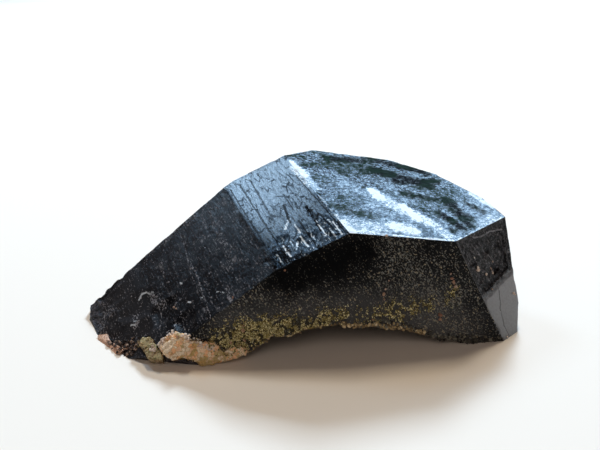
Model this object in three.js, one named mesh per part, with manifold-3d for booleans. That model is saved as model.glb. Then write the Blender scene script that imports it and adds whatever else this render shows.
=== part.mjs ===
// A rough black quartz crystal that lies on its broken foot, with scraps of pink and olive feldspar
// grown on it. Millimetres, +Z up. The crystal's long axis rises towards +X, where its pointed end is,
// and -Y is the front.
import * as THREE from "three";
import { mergeVertices } from "three/addons/utils/BufferGeometryUtils.js";
import Module from "manifold-3d";

const wasm = await Module();
wasm.setup();

// How the crystal lies, in degrees: its axis rises from the ground, and turns from +X towards +Y.
const AXIS_RISE = 33.6;
const AXIS_HEADING = 16.2;
const FIRST_PRISM_TURN = 45.8;
const PRISM_STEP = 60;

// Every dimension is measured from a point on the ground under the crystal. The middle of the finished
// stone lies this far from that point, and is moved to the origin at the end.
const MIDDLE = new THREE.Vector3(-0.03, -0.23, 0);

// Each natural face: the side of the six-sided prism that it stands over, the tilt of its outward direction
// from the crystal's axis, and its reach. A prism face has a tilt of 90 and most faces of the point about 52.
// Relief is how far the surface rises and falls, in cells of the given size across the face and along it.
// Steps is the height of the growth ledges that run across the face.
const FACES = {
  upper_back: { side: 0, tilt: 96, reach: 34.5 },
  upper_back_bend: { side: 0, tilt: 81, reach: 35.7 },
  point_back: { side: 0, tilt: 49.1, reach: 42.3 },
  upper_front: { side: 1, tilt: 90, reach: 28.8 },
  upper_front_bend: { side: 1, tilt: 80.6, reach: 28.8, relief: 0.05, cell: [1.3, 6], steps: 0.11 },
  point_top: { side: 1, tilt: 51.8, reach: 33.0 },
  front: { side: 2, tilt: 90, reach: 26.0, relief: 0.16, cell: [3, 6], steps: 0.1 },
  point_front: { side: 2.1, tilt: 54.6, reach: 44.3 },
  point_low: { side: 3, tilt: 42, reach: 56.7 },
  point_under: { side: 4, tilt: 38.5, reach: 45.1, relief: 0.25, cell: [6, 6] },
  point_corner: { side: 4.5, tilt: 48.8, reach: 35.4 },
  point_rear: { side: 5, tilt: 53.8, reach: 34.3 },
  back: { side: 5, tilt: 90, reach: 24.5, relief: 0.25, cell: [5, 8], steps: 0.2 },
};

// Broken surfaces at the crystal's foot: the direction that each looks in, and a point that it passes
// through.
const BREAKS = {
  tip: { looks: [-0.53, -0.4, 0.75], through: [-51.5, -6.5, 4.7] },
  left_end: { looks: [-0.97, -0.2, 0.1], through: [-55.2, -6, 2.6] },
  left_corner: { looks: [-0.85, -0.49, 0.2], through: [-52.5, -13.2, 0] },
  front_foot: { looks: [-0.12, -0.79, -0.6], through: [-28, -29, 0] },
  back_foot: { looks: [-0.35, 0.78, -0.52], through: [-12, 25.5, 0] },
};
const BREAK_RELIEF = 0.4;
const BREAK_CELL = [2.6, 2.6];

// The hollow under the front: its outline along X and up Z where it meets the front. It narrows to a
// rounded end, and is a little higher inside than at its mouth.
const ARCH_OUTLINE = [
  [-21, 0], [-15.5, 1.4], [-11.6, 2.2], [-9.3, 3.4], [-6.5, 5.4], [-2.3, 5.3], [0.8, 6.4], [5, 6.7],
  [9.5, 6.8], [12, 6], [17.9, 5.5], [22.1, 4.9], [25.3, 4.5], [28.5, 3.4], [34, 1.3], [41, 0.4], [46, 0],
];
const ARCH_SPAN = [-46, 4];
const ARCH_MOUTH = -26;
const ARCH_MIDDLE = 9;
const ARCH_HALF_WIDTH = 34;
const ARCH_LENGTH = 27;
const ARCH_RISE = 1.2;
const ARCH_SLICES = 17;
const ARCH_LUMPS = 0.5;

// The hollow under the back: centre, half-sizes, and turn about +Z in degrees.
const BACK_HOLLOW = { at: [0, 22, -3.4], half: [19, 13, 6.6], turn: 12 };

// Shallow shell-shaped breaks in a face: where each lies along the face towards the point and across it,
// measured from the foot of the line from the point on the ground, then its radius and its depth.
const SHELLS = {
  upper_front: [
    [-32, -5.5, 5.2, 0.55], [-26.6, 1.5, 4.6, 0.7], [-34.5, 2.5, 5.4, 0.6], [-41.5, -3, 4.2, 0.5],
    [-38.6, -14.5, 4.6, 0.35], [-22.3, 9.5, 3.6, 0.4],
  ],
  upper_front_bend: [
    [-4.4, 9.4, 2.4, 0.35], [-0.6, 12.6, 2.6, 0.45], [2.6, 6.2, 1.9, 0.3], [4, 14.6, 2.3, 0.4],
    [6, 10, 1.8, 0.35], [8.4, 15.4, 2.2, 0.45], [12.6, 16.2, 1.7, 0.3],
  ],
  point_front: [[18.9, 7.9, 1.7, 0.9], [17.8, 12.9, 1.4, 0.9], [24.8, 9.2, 2.2, 0.8], [30, 11.4, 2, 0.7]],
  front: [[28.2, -9, 1.4, 0.5]],
};

// Ledges cut into a face: the depth, and the outline along the face towards the point and across it.
const LEDGES = [
  {
    face: "point_front",
    depth: 0.45,
    outline: [
      [18.6, 2.8], [23.1, 4], [25.8, 5.8], [29.6, 7.4], [32.5, 9.4], [33, 11.4], [31, 14], [29.2, 16.5],
      [27.9, 18.1], [23.9, 17.3], [19.8, 16.4], [16.7, 15.8], [16, 13.8], [17, 9.5], [18, 5.2],
    ],
  },
  {
    face: "point_front",
    depth: 1.1,
    outline: [[23.5, 13.4], [25, 14.3], [25.8, 15.8], [24.6, 16.4], [22.8, 15.8], [22.7, 14.3]],
  },
  {
    face: "upper_front_bend",
    depth: 0.4,
    outline: [
      [11.5, -1], [12.1, -0.6], [12.9, 5], [12.7, 12.2], [14.4, 13.6], [12.4, 14], [11.6, 11.8], [11.8, 5],
    ],
  },
];

// Scraps of feldspar. Each is a crust of the same thickness that follows the crystal's faces, and stands
// out of them by the given amount. Their outlines are drawn as they look from the front and above,
// along X and up the drawing from a line at SCRAP_LINE. Each lists the surfaces that it lies on.
const SCRAPS = {
  feldspar_patch: {
    outline: [
      [-32.3, 3.9], [-31, 5.5], [-29.3, 6.1], [-28.9, 7.1], [-27.8, 5.9], [-26.1, 5.8], [-25.6, 4.4],
      [-24, 4.7], [-22.7, 4], [-20.1, 4.3], [-17.7, 2.3], [-15.7, 3.1], [-13.6, 3.6], [-12.6, 2.8],
      [-12.8, 1.4], [-15.5, 0.9], [-18.5, -0.5], [-22.8, -0.5], [-24.2, 0.6], [-26, 1.1], [-29.2, 0.7],
      [-30.2, 1.3], [-31.5, 2.4],
    ],
    on: ["upper_front", "front", "front_foot"],
    proud: 0.45,
    colour: 0xc08a68,
  },
  feldspar_rim: {
    outline: [
      [-50.4, 7.2], [-48.1, 7.5], [-47.4, 6.2], [-46.4, 5.2], [-45.1, 4.5], [-43.5, 3.9], [-42.5, 3],
      [-43.2, 2.2], [-44.4, 2.1], [-46.3, 2.9], [-48.2, 4.1], [-49.7, 5.5],
    ],
    on: ["upper_front", "left_corner"],
    proud: 0.9,
    colour: 0xbb8f78,
  },
  olive_knob: {
    outline: [
      [-38.2, 4.7], [-37.4, 6], [-35.9, 6.3], [-34.5, 5.1], [-33.3, 3.4], [-31.7, 1.4], [-31.3, -1.2],
      [-33.7, -1.2], [-34.9, 0.9], [-36.6, 2.9],
    ],
    on: ["upper_front", "front_foot"],
    proud: 0.7,
    colour: 0x7d7850,
  },
};
const SCRAP_VIEW = 38;
const SCRAP_LINE = -18;
const SCRAP_SPAN = [8, 36];
const SCRAP_THICKNESS = 2.4;
const SCRAP_GAP = 0.3;
const SCRAP_RELIEF = 0.3;
const SCRAP_CELL = [1.7, 1.7];

// The size of a cutting box, the size of the lumps on a surface, and how far a cutting tool stands out
// of it.
const BIG = 300;
const LUMP_SIZE = 6;
const ABOVE = 2;

// The crystal is opaque black and glassy. The feldspar is matt.
const CRYSTAL_COLOUR = 0x17161a;
const CRYSTAL_ROUGHNESS = 0.2;
const FELDSPAR_ROUGHNESS = 0.75;

const radians = THREE.MathUtils.degToRad;
const vector = (xyz) => new THREE.Vector3(...xyz);

// The crystal's axis, and two directions square to it from which the prism's sides are turned.
const axis = vector([
  Math.cos(radians(AXIS_RISE)) * Math.cos(radians(AXIS_HEADING)),
  Math.cos(radians(AXIS_RISE)) * Math.sin(radians(AXIS_HEADING)),
  Math.sin(radians(AXIS_RISE)),
]);
const level = vector([-Math.sin(radians(AXIS_HEADING)), Math.cos(radians(AXIS_HEADING)), 0]);
const upright = axis.clone().cross(level);

// A natural face's own frame: x runs across the face, y along it towards the point, and z out of it.
function faceFrame({ side, tilt, reach }, grow = 0) {
  const turn = radians(FIRST_PRISM_TURN + PRISM_STEP * side);
  const outward = level.clone().multiplyScalar(Math.cos(turn)).addScaledVector(upright, Math.sin(turn));
  const lean = radians(tilt);
  const across = axis.clone().cross(outward);
  const along = axis.clone().multiplyScalar(Math.sin(lean)).addScaledVector(outward, -Math.cos(lean));
  const out = outward.clone().multiplyScalar(Math.sin(lean)).addScaledVector(axis, Math.cos(lean));
  const foot = out.clone().multiplyScalar(reach + grow);
  return new THREE.Matrix4().makeBasis(across, along, out).setPosition(foot);
}

// A broken surface's own frame, with z out of it.
function breakFrame({ looks, through }, grow = 0) {
  const out = vector(looks).normalize();
  const across = new THREE.Vector3(0, 0, 1).cross(out).normalize();
  const along = out.clone().cross(across);
  const foot = vector(through).addScaledVector(out, grow);
  return new THREE.Matrix4().makeBasis(across, along, out).setPosition(foot);
}

// A closed three.js geometry as a solid.
function solidOf(geometry) {
  const bare = geometry.index ? geometry.toNonIndexed() : geometry.clone();
  bare.deleteAttribute("normal");
  bare.deleteAttribute("uv");
  const merged = mergeVertices(bare, 1e-4);
  const mesh = new wasm.Mesh({
    numProp: 3,
    vertProperties: merged.attributes.position.array,
    triVerts: new Uint32Array(merged.index.array),
  });
  return new wasm.Manifold(mesh);
}

// A smooth random value from -1 to 1 at a point, the same on every run.
function noise(point, size) {
  const [x, y, z] = [point.x / size, point.y / size, point.z / size];
  const [i, j, k] = [Math.floor(x), Math.floor(y), Math.floor(z)];
  const ease = (t) => t * t * (3 - 2 * t);
  const mix = THREE.MathUtils.lerp;
  const row = (b, c) => mix(scatter(i, b, c), scatter(i + 1, b, c), ease(x - i));
  const layer = (c) => mix(row(j, c), row(j + 1, c), ease(y - j));
  return mix(layer(k), layer(k + 1), ease(z - k));
}

// A random value from -1 to 1 for three whole numbers.
function scatter(a, b, c) {
  const value = Math.sin(a * 127.1 + b * 311.7 + c * 74.7) * 43758.5453;
  return 2 * (value - Math.floor(value)) - 1;
}

// The height of growth ledges at a place on a face: bands of uneven height that run across the face.
function bandHeight(place) {
  const BAND = 2.6;
  const WANDER = 0.9;
  const WANDER_SIZE = 17;
  return scatter(Math.floor((place.y + WANDER * noise(place, WANDER_SIZE)) / BAND), 3, 7);
}

// What a surface cuts away: a box that stands on the surface, with that surface's relief on its foot.
function outside(frame, { relief = 0, cell = [BIG, BIG], steps = 0 }) {
  const [cellsAcross, cellsAlong] = cell.map((size) => Math.ceil(BIG / 2 / size));
  const box = new THREE.BoxGeometry(BIG / 2, BIG / 2, BIG, cellsAcross, cellsAlong, 1);
  box.translate(0, 0, BIG / 2);
  const corner = new THREE.Vector3();
  const inside = (value) => Math.abs(value) < BIG / 4 - 1e-3;
  for (let i = 0; i < box.attributes.position.count; i++) {
    corner.fromBufferAttribute(box.attributes.position, i);
    if (Math.abs(corner.z) > 1e-3 || !inside(corner.x) || !inside(corner.y)) continue;
    const lumps = relief * noise(corner.clone().applyMatrix4(frame), LUMP_SIZE);
    box.attributes.position.setZ(i, lumps + steps * bandHeight(corner));
  }
  return solidOf(box.applyMatrix4(frame));
}

// What one of the crystal's surfaces cuts away. Grow moves the surface out, and rough replaces its relief.
function surfaceCut(name, grow, rough) {
  if (name in FACES) return outside(faceFrame(FACES[name], grow), rough ?? FACES[name]);
  return outside(breakFrame(BREAKS[name], grow), rough ?? { relief: BREAK_RELIEF, cell: BREAK_CELL });
}

// The crystal's natural form, cut to its broken surfaces.
function envelope(grow = 0, rough = null) {
  const DEEP = -6;
  let body = solidOf(new THREE.BoxGeometry(BIG / 2, BIG / 2, BIG / 4).translate(0, 0, BIG / 8 + DEEP));
  for (const name of Object.keys({ ...FACES, ...BREAKS })) {
    body = body.subtract(surfaceCut(name, grow, rough));
  }
  return body;
}

// How high the hollow under the front stands at a place, as a share of its height at the mouth.
function archHeight(x, y) {
  const width = Math.min(Math.abs(x - ARCH_MIDDLE) / ARCH_HALF_WIDTH, 0.98);
  const inward = Math.max(y - ARCH_MOUTH, 0) / (ARCH_LENGTH * Math.sqrt(1 - width * width));
  if (inward >= 1) return 0;
  const vault = Math.sqrt(1 - inward ** 4);
  return vault * (1 + (ARCH_RISE - 1) * Math.sin(Math.PI * inward));
}

// The hollow under the front, as a tool: its outline drawn out along Y, with each slice's height changed.
function arch() {
  const BELOW = -1.5;
  const FLOOR = -4;
  const [front, back] = ARCH_SPAN;
  const last = ARCH_OUTLINE[ARCH_OUTLINE.length - 1][0];
  const points = [[ARCH_OUTLINE[0][0], FLOOR], ...ARCH_OUTLINE, [last, FLOOR]];
  const shape = new THREE.Shape(points.map(([x, z]) => new THREE.Vector2(x, z)));
  const slices = { depth: back - front, steps: ARCH_SLICES, bevelEnabled: false };
  const tool = new THREE.ExtrudeGeometry(shape, slices).rotateX(Math.PI / 2).translate(0, back, 0);
  const corner = new THREE.Vector3();
  for (let i = 0; i < tool.attributes.position.count; i++) {
    corner.fromBufferAttribute(tool.attributes.position, i);
    if (corner.z <= FLOOR) continue;
    const height = (corner.z - BELOW) * archHeight(corner.x, corner.y) + BELOW;
    tool.attributes.position.setZ(i, height + ARCH_LUMPS * noise(corner, LUMP_SIZE));
  }
  return solidOf(tool);
}

// A rounded hollow's tool: a lumpy ball of the given half-sizes.
function ball({ at, half, turn }) {
  const DETAIL = 6;
  const LUMP_SHARE = 0.04;
  const geometry = new THREE.IcosahedronGeometry(1, DETAIL);
  const corner = new THREE.Vector3();
  for (let i = 0; i < geometry.attributes.position.count; i++) {
    corner.fromBufferAttribute(geometry.attributes.position, i).multiply(vector(half));
    corner.multiplyScalar(1 + LUMP_SHARE * noise(corner, LUMP_SIZE));
    geometry.attributes.position.setXYZ(i, corner.x, corner.y, corner.z);
  }
  return solidOf(geometry.rotateZ(radians(turn)).translate(...at));
}

// A shell-shaped break's tool: a cone-like dish that meets the face in an uneven ring.
function shell(face, [along, across, radius, depth]) {
  const SIDES = 9;
  const FLARE = 1 + ABOVE / depth / 2;
  const UNEVEN = 0.3;
  const profile = [[0, -depth], [0.55, -0.8 * depth], [1, 0], [FLARE, ABOVE], [0, ABOVE]];
  const dish = new THREE.LatheGeometry(profile.map(([r, z]) => new THREE.Vector2(r * radius, z)), SIDES);
  const corner = new THREE.Vector3();
  for (let i = 0; i < dish.attributes.position.count; i++) {
    corner.fromBufferAttribute(dish.attributes.position, i);
    const turn = Math.round((Math.atan2(corner.z, corner.x) / Math.PI / 2) * SIDES + SIDES) % SIDES;
    const stretch = 1 + UNEVEN * scatter(turn, Math.round(along * 10), Math.round(across * 10));
    dish.attributes.position.setXYZ(i, corner.x * stretch, corner.y, corner.z * stretch);
  }
  // The dish is turned so that its axis stands along +Z, out of the face.
  dish.rotateX(Math.PI / 2).translate(across, along, 0);
  return solidOf(dish.applyMatrix4(faceFrame(FACES[face])));
}

// A ledge's tool: its outline as a slab that reaches down to depth below the face.
function ledge({ face, depth, outline }) {
  const shape = new THREE.Shape(outline.map(([along, across]) => new THREE.Vector2(across, along)));
  const slab = new THREE.ExtrudeGeometry(shape, { depth: ABOVE + depth, bevelEnabled: false });
  return solidOf(slab.translate(0, 0, -depth).applyMatrix4(faceFrame(FACES[face])));
}

const belowGround = outside(new THREE.Matrix4().makeRotationX(Math.PI), {});

function makeCrystal(sockets) {
  let body = envelope().subtract(arch()).subtract(ball(BACK_HOLLOW));
  for (const [face, shells] of Object.entries(SHELLS)) {
    for (const numbers of shells) body = body.subtract(shell(face, numbers));
  }
  for (const step of LEDGES) body = body.subtract(ledge(step));
  for (const socket of sockets) body = body.subtract(socket);
  return body.subtract(belowGround);
}

// A scrap's outline drawn out towards its front and back, with every side moved out by margin.
function scrapSlab(outline, margin) {
  const [back, front] = SCRAP_SPAN;
  const shape = new THREE.Shape(outline.map(([x, up]) => new THREE.Vector2(x, up + SCRAP_LINE)));
  const bevel = { bevelEnabled: margin > 0, bevelThickness: margin, bevelSize: margin, bevelSegments: 1 };
  const slab = new THREE.ExtrudeGeometry(shape, { depth: front - back, ...bevel });
  return solidOf(slab.translate(0, 0, back).rotateX(radians(90 - SCRAP_VIEW)));
}

function makeScrap({ outline, proud, on }) {
  let body = scrapSlab(outline, 0).subtract(envelope(-SCRAP_THICKNESS, {}));
  const rough = { relief: SCRAP_RELIEF, cell: SCRAP_CELL };
  for (const name of on) body = body.subtract(surfaceCut(name, proud, rough));
  return body.subtract(arch()).subtract(belowGround);
}

// The room that a scrap takes in the crystal, with a gap all round it.
function socketOf({ outline }) {
  return scrapSlab(outline, SCRAP_GAP).subtract(envelope(-SCRAP_THICKNESS - SCRAP_GAP, {}));
}

function meshOf(name, solid, colour, roughness) {
  const mesh = solid.getMesh();
  const geometry = new THREE.BufferGeometry();
  const corners = new Float32Array(mesh.vertProperties);
  geometry.setAttribute("position", new THREE.BufferAttribute(corners, mesh.numProp));
  geometry.setIndex(new THREE.BufferAttribute(new Uint32Array(mesh.triVerts), 1));
  const flat = geometry.toNonIndexed().translate(-MIDDLE.x, -MIDDLE.y, -MIDDLE.z);
  flat.computeVertexNormals();
  const material = new THREE.MeshStandardMaterial({ color: colour, roughness, metalness: 0 });
  const result = new THREE.Mesh(flat, material);
  result.name = name;
  return result;
}

const group = new THREE.Group();
const sockets = Object.values(SCRAPS).map(socketOf);
group.add(meshOf("morion_crystal", makeCrystal(sockets), CRYSTAL_COLOUR, CRYSTAL_ROUGHNESS));
for (const [name, scrap] of Object.entries(SCRAPS)) {
  group.add(meshOf(name, makeScrap(scrap), scrap.colour, FELDSPAR_ROUGHNESS));
}

export default group;
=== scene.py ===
"""The looks of a rough black quartz crystal, with feldspar and druse grown on its broken foot."""
import math

import bmesh
import bpy
import numpy as np
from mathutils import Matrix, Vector
from mathutils.bvhtree import BVHTree


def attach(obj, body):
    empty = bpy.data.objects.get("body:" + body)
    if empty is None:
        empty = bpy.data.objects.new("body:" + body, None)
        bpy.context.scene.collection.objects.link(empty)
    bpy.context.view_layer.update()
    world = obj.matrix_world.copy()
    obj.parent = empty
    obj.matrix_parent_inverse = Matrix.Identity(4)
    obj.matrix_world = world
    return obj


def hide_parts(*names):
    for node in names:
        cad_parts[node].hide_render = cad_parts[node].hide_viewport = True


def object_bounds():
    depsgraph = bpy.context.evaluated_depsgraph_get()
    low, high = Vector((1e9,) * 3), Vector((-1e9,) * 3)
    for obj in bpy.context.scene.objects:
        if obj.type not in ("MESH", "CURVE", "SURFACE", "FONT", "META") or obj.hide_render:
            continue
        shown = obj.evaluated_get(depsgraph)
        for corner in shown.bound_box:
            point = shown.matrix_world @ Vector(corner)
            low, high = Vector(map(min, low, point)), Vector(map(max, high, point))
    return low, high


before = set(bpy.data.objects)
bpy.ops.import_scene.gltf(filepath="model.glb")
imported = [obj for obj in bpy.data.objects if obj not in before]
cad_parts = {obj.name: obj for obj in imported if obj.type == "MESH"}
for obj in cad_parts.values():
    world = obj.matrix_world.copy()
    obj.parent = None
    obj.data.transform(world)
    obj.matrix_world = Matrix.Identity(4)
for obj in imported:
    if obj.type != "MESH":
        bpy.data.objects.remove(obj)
CAD_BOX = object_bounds()

MM = 0.001

# The crystal's axis rises from the ground and turns from +X towards +Y. Its faces are measured in
# millimetres from a point on the ground, and the stone's middle lies this far from that point.
AXIS_RISE = math.radians(33.6)
AXIS_HEADING = math.radians(16.2)
FIRST_PRISM_TURN = 45.8
PRISM_STEP = 60
MIDDLE = np.array([-0.03, -0.23, 0.0])

AXIS = np.array([
    math.cos(AXIS_RISE) * math.cos(AXIS_HEADING),
    math.cos(AXIS_RISE) * math.sin(AXIS_HEADING),
    math.sin(AXIS_RISE),
])
LEVEL = np.array([-math.sin(AXIS_HEADING), math.cos(AXIS_HEADING), 0])
UPRIGHT = np.cross(AXIS, LEVEL)

# Each natural face: the prism side that it stands over, its tilt from the axis in degrees, and its reach.
FACES = {
    "upper_back": (0, 96, 34.5),
    "upper_back_bend": (0, 81, 35.7),
    "point_back": (0, 49.1, 42.3),
    "upper_front": (1, 90, 28.8),
    "upper_front_bend": (1, 80.6, 28.8),
    "point_top": (1, 51.8, 33.0),
    "front": (2, 90, 26.0),
    "point_front": (2.1, 54.6, 44.3),
    "point_low": (3, 42, 56.7),
    "point_under": (4, 38.5, 45.1),
    "point_corner": (4.5, 48.8, 35.4),
    "point_rear": (5, 53.8, 34.3),
    "back": (5, 90, 24.5),
}

# Each broken surface at the foot: the direction that it looks in, and a point that it passes through.
BREAKS = {
    "tip": ([-0.53, -0.4, 0.75], [-51.5, -6.5, 4.7]),
    "left_end": ([-0.97, -0.2, 0.1], [-55.2, -6, 2.6]),
    "left_corner": ([-0.85, -0.49, 0.2], [-52.5, -13.2, 0]),
    "front_foot": ([-0.12, -0.79, -0.6], [-28, -29, 0]),
    "back_foot": ([-0.35, 0.78, -0.52], [-12, 25.5, 0]),
}
# What lies deeper than this under every surface is the inside of a hollow. What lies lower than the foot
# is the flat that touches the ground.
DEEPEST_DISH = 1.8
FOOT_HEIGHT = 0.02

# The fine meshes are made of cells, each as large as the piece's longest side over two to this power, and
# over the scale.
CRYSTAL_DEPTH = 8
SCRAP_DEPTHS = {"feldspar_patch": 7, "feldspar_rim": 6, "olive_knob": 6}
CELL_SCALE = 0.94

# The fine relief fades out this near to a surface's edges. Inside the hollows it starts at this height.
RELIEF_MARGIN = 0.8
HOLLOW_RELIEF_START = 0.3
# The sharp edges are worn back this much over this width. The broken tip lies to the left of its start and
# has deeper nicks, above this height.
WORN_DEPTH = 0.25
WORN_WIDTH = 0.7
NICK_DEPTH = 1.5
NICK_WIDTH = 2.5
NICK_HEIGHT = 2
TIP_START = -44
# Places along the prism faces, towards the tip: they grow dull from one and are lumpy past the other.
DULL_PRISM = -26
LUMPY_PRISM = -33
LUMPY_FADE = 6
# The smooth part of the end starts this far across it at one place along it, and slants by this much.
SMOOTH_START = 15.9
SMOOTH_MIDDLE = 14.7
SMOOTH_SLANT = 0.24


def face_axes(side, tilt):
    """A face's directions as rows: across it, along it towards the point, and out of it."""
    turn = math.radians(FIRST_PRISM_TURN + PRISM_STEP * side)
    lean = math.radians(tilt)
    outward = math.cos(turn) * LEVEL + math.sin(turn) * UPRIGHT
    across = np.cross(AXIS, outward)
    along = math.sin(lean) * AXIS - math.cos(lean) * outward
    out = math.sin(lean) * outward + math.cos(lean) * AXIS
    return np.array([across, along, out])


def break_axes(looks):
    """A broken surface's directions as rows: across, along, and out of it."""
    out = np.array(looks) / np.linalg.norm(looks)
    across = np.cross([0, 0, 1], out)
    across /= np.linalg.norm(across)
    return np.array([across, np.cross(out, across), out])


SURFACES = {name: (face_axes(side, tilt), reach) for name, (side, tilt, reach) in FACES.items()}
for name, (looks, through) in BREAKS.items():
    SURFACES[name] = (break_axes(looks), float(break_axes(looks)[2] @ np.array(through)))
NAMES = list(SURFACES) + ["inner"]
INNER = len(SURFACES)
OUTS = np.array([axes[2] for axes, reach in SURFACES.values()])
REACHES = np.array([reach for axes, reach in SURFACES.values()])


def from_ground(points):
    """Points in metres from the origin, as millimetres from the point that the faces are measured from."""
    return np.asarray(points) / MM + MIDDLE


def surface_of(ground):
    """The number in NAMES of the surface that each point lies on."""
    height = ground @ OUTS.T - REACHES
    nearest = height.argmax(axis=1)
    deep = height.max(axis=1) < -DEEPEST_DISH
    return np.where(deep | (ground[:, 2] < FOOT_HEIGHT), INNER, nearest)


def edge_distance(ground, number):
    """How far each point is from the rim of the surface that it lies on."""
    height = ground @ OUTS.T - REACHES
    corner = np.sqrt(np.maximum(1 - (OUTS @ OUTS.T) ** 2, 0.02))
    mine = np.minimum(number, INNER - 1)
    away = -height / corner[mine]
    away[np.arange(len(ground)), mine] = np.inf
    return np.maximum(away.min(axis=1), 0)


def ease(value):
    """A smooth step from 0 to 1."""
    value = np.clip(value, 0, 1)
    return value * value * (3 - 2 * value)


def scatter(cells, seed):
    """Random values from -1 to 1 for rows of three whole numbers."""
    mixed = cells.astype(np.int64) @ np.array([73856093, 19349663, 83492791]) + seed * 6542989
    mixed = (mixed ^ (mixed >> 13)) * 1274126177
    mixed = mixed ^ (mixed >> 16)
    return (mixed & 0xFFFFFF) / 0x7FFFFF - 1


def noise(points, size, seed):
    """Smooth random values from -1 to 1 at points, with lumps of the given size."""
    scaled = points / size
    low = np.floor(scaled)
    part = ease(scaled - low)
    total = np.zeros(len(points))
    for corner in np.ndindex(2, 2, 2):
        weight = np.prod(np.where(np.array(corner) == 1, part, 1 - part), axis=1)
        total += weight * scatter(low + corner, seed)
    return total


def layered(points, size, seed, layers=3):
    """Noise with finer and weaker layers added."""
    total = sum(noise(points, size / 2**i, seed + i) / 2**i for i in range(layers))
    return total / sum(0.5**i for i in range(layers))


def add_object(name, data):
    """A new object in the scene."""
    made = bpy.data.objects.new(name, data)
    bpy.context.scene.collection.objects.link(made)
    return made


def fine_copy(node, name, depth):
    """A new object with a node's shape, made of small even faces."""
    work = bmesh.new()
    work.from_mesh(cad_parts[node].data)
    bmesh.ops.remove_doubles(work, verts=work.verts, dist=1e-6)
    mesh = bpy.data.meshes.new(name)
    work.to_mesh(mesh)
    work.free()
    made = add_object(name, mesh)
    cells = made.modifiers.new("cells", "REMESH")
    cells.mode = "SHARP"
    cells.octree_depth = depth
    cells.scale = CELL_SCALE
    cells.use_remove_disconnected = False
    fine = bpy.data.meshes.new_from_object(made.evaluated_get(bpy.context.evaluated_depsgraph_get()))
    made.modifiers.clear()
    made.data = fine
    return made


def corners_of(mesh):
    """A mesh's corners and their normals, as rows."""
    places = np.empty(len(mesh.vertices) * 3)
    mesh.vertices.foreach_get("co", places)
    normals = np.array([tuple(v.normal) for v in mesh.vertices])
    return places.reshape(-1, 3), normals


def set_corners(mesh, places):
    mesh.vertices.foreach_set("co", np.ascontiguousarray(places, dtype=np.float32).ravel())
    mesh.update()


def inside_box(places):
    """Places moved into the box of the stone's solids."""
    return np.clip(places, np.array(CAD_BOX[0]), np.array(CAD_BOX[1]))


def shade(mesh, angle):
    """Smooth shading, with the edges sharper than the angle kept sharp."""
    mesh.polygons.foreach_set("use_smooth", np.ones(len(mesh.polygons), dtype=bool))
    mesh.set_sharp_from_angle(angle=math.radians(angle))


def new_piece(name, mesh):
    """Puts a mesh in the scene as a piece of the stone."""
    made = add_object(name, mesh)
    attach(made, "root")
    return made


def steps(along, place, size, seed):
    """Growth ledges: flat bands of random height that run across a face."""
    wander = 0.3 * noise(place, 9, seed)
    band = np.floor(along / size + wander)
    return scatter(np.column_stack([band, band * 0, band * 0]), seed)


def swells(place, height, size, seed):
    """Soft relief from 0 to twice the height."""
    return height * (1 + layered(place, size, seed))


def ledges(local, place, height, size, seed):
    """Growth ledges across a face, from 0 to twice the height."""
    return height * (1 + steps(local[:, 1], place, size, seed))


def lumps(place, *layers):
    """Sharp-edged lumps and hollows, in layers that each have a height, a size and a seed."""
    return sum(height * np.abs(layered(place, size, seed)) for height, size, seed in layers)


def broken_relief(local, place):
    return swells(place, 0.14, 2.6, 11)


def tip_relief(local, place):
    return lumps(place, (1.7, 3.0, 13), (0.45, 1.1, 17))


def prism_relief(local, place):
    """A prism face: faint ledges across it, and lumps near the broken tip."""
    near_tip = ease((LUMPY_PRISM - local[:, 1]) / LUMPY_FADE)
    faint = swells(place, 0.03, 5, 21) + ledges(local, place, 0.02, 1.9, 5)
    return faint + near_tip * lumps(place, (1.2, 2.8, 14), (0.3, 0.9, 18))


def bend_relief(local, place):
    """The bent strip: fine ledges across it, broken into scales towards the front edge."""
    front = ease((local[:, 0] - 1) / 10)
    return ledges(local, place, 0.05, 1.1, 8) + front * lumps(place * [1, 0.7, 1], (0.45, 1.9, 31))


def top_relief(local, place):
    return swells(place, 0.02, 6, 41)


def front_relief(local, place):
    return ledges(local, place, 0.04, 1.5, 51) + swells(place, 0.05, 2.2, 52)


def smooth_end(local):
    """1 in the smooth lower part of the etched end, 0 in its upper part."""
    return ease((local[:, 0] - SMOOTH_START - SMOOTH_SLANT * (local[:, 1] - SMOOTH_MIDDLE)) / 1.2)


def etched_relief(local, place):
    """The etched end: lumps and small pits, smooth in its lower part."""
    return (1 - smooth_end(local)) * (0.1 + lumps(place, (0.5, 1.8, 61)))


RELIEF = {
    "tip": tip_relief,
    "left_end": tip_relief,
    "left_corner": tip_relief,
    "upper_front": prism_relief,
    "upper_front_bend": bend_relief,
    "point_top": top_relief,
    "front": front_relief,
    "point_front": etched_relief,
    "back": front_relief,
    "upper_back": prism_relief,
    "upper_back_bend": prism_relief,
    "point_back": top_relief,
    "point_rear": top_relief,
    "point_corner": top_relief,
}


def carve(ground, number):
    """How deep the fine relief is at each point of the crystal."""
    depth = np.zeros(len(ground))
    inside = ease(edge_distance(ground, number) / RELIEF_MARGIN)
    for name, (axes, reach) in SURFACES.items():
        mine = number == NAMES.index(name)
        place = ground[mine]
        depth[mine] = RELIEF.get(name, broken_relief)(place @ axes.T, place) * inside[mine]
    inner = number == INNER
    depth[inner] = broken_relief(None, ground[inner]) * (ground[inner, 2] > HOLLOW_RELIEF_START)
    return np.maximum(depth, 0)


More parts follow.
